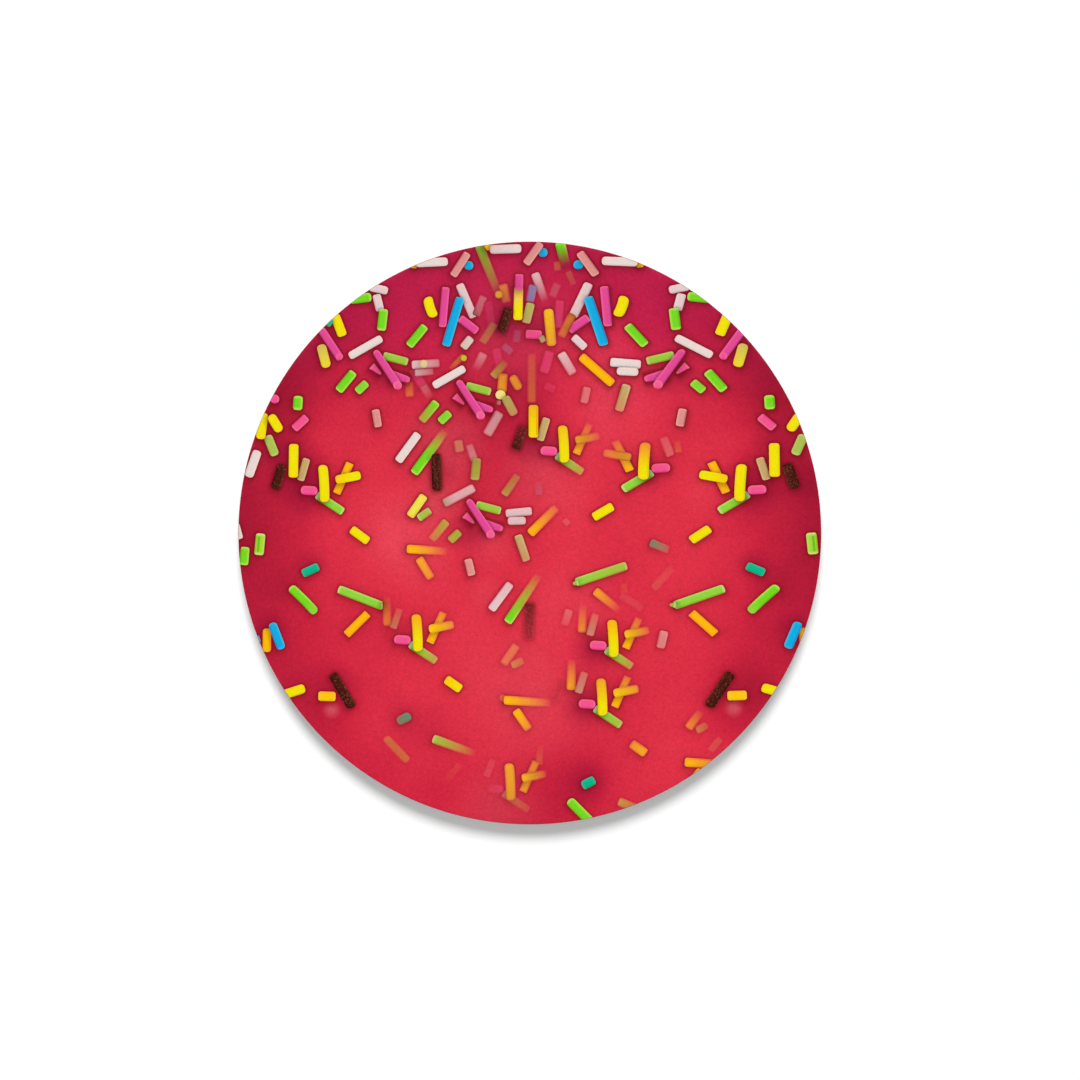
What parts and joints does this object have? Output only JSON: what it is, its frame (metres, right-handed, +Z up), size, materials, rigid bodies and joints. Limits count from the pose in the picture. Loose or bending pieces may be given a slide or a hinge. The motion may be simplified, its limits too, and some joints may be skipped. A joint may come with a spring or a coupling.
{
  "type": "round coaster",
  "caption": "Thin round drinks coaster: a flat disc with a softened rim and a print of frosting and sprinkles on its face, on a smaller cork disc.",
  "frame": {"origin": "on the surface that the coaster stands on, under the middle of the disc", "axes": "+Z up out of the printed face, +Y to the top of the printed picture, +X to its right"},
  "size_m": [0.1, 0.1, 0.0044],
  "materials": {
    "print": "satin film over a printed picture",
    "board": "white lacquered hardboard",
    "cork": "matt pressed cork"
  },
  "bodies": {
    "root": {"print_sheet": "print", "board": "board", "cork_backing": "cork"}
  },
  "joints": []
}
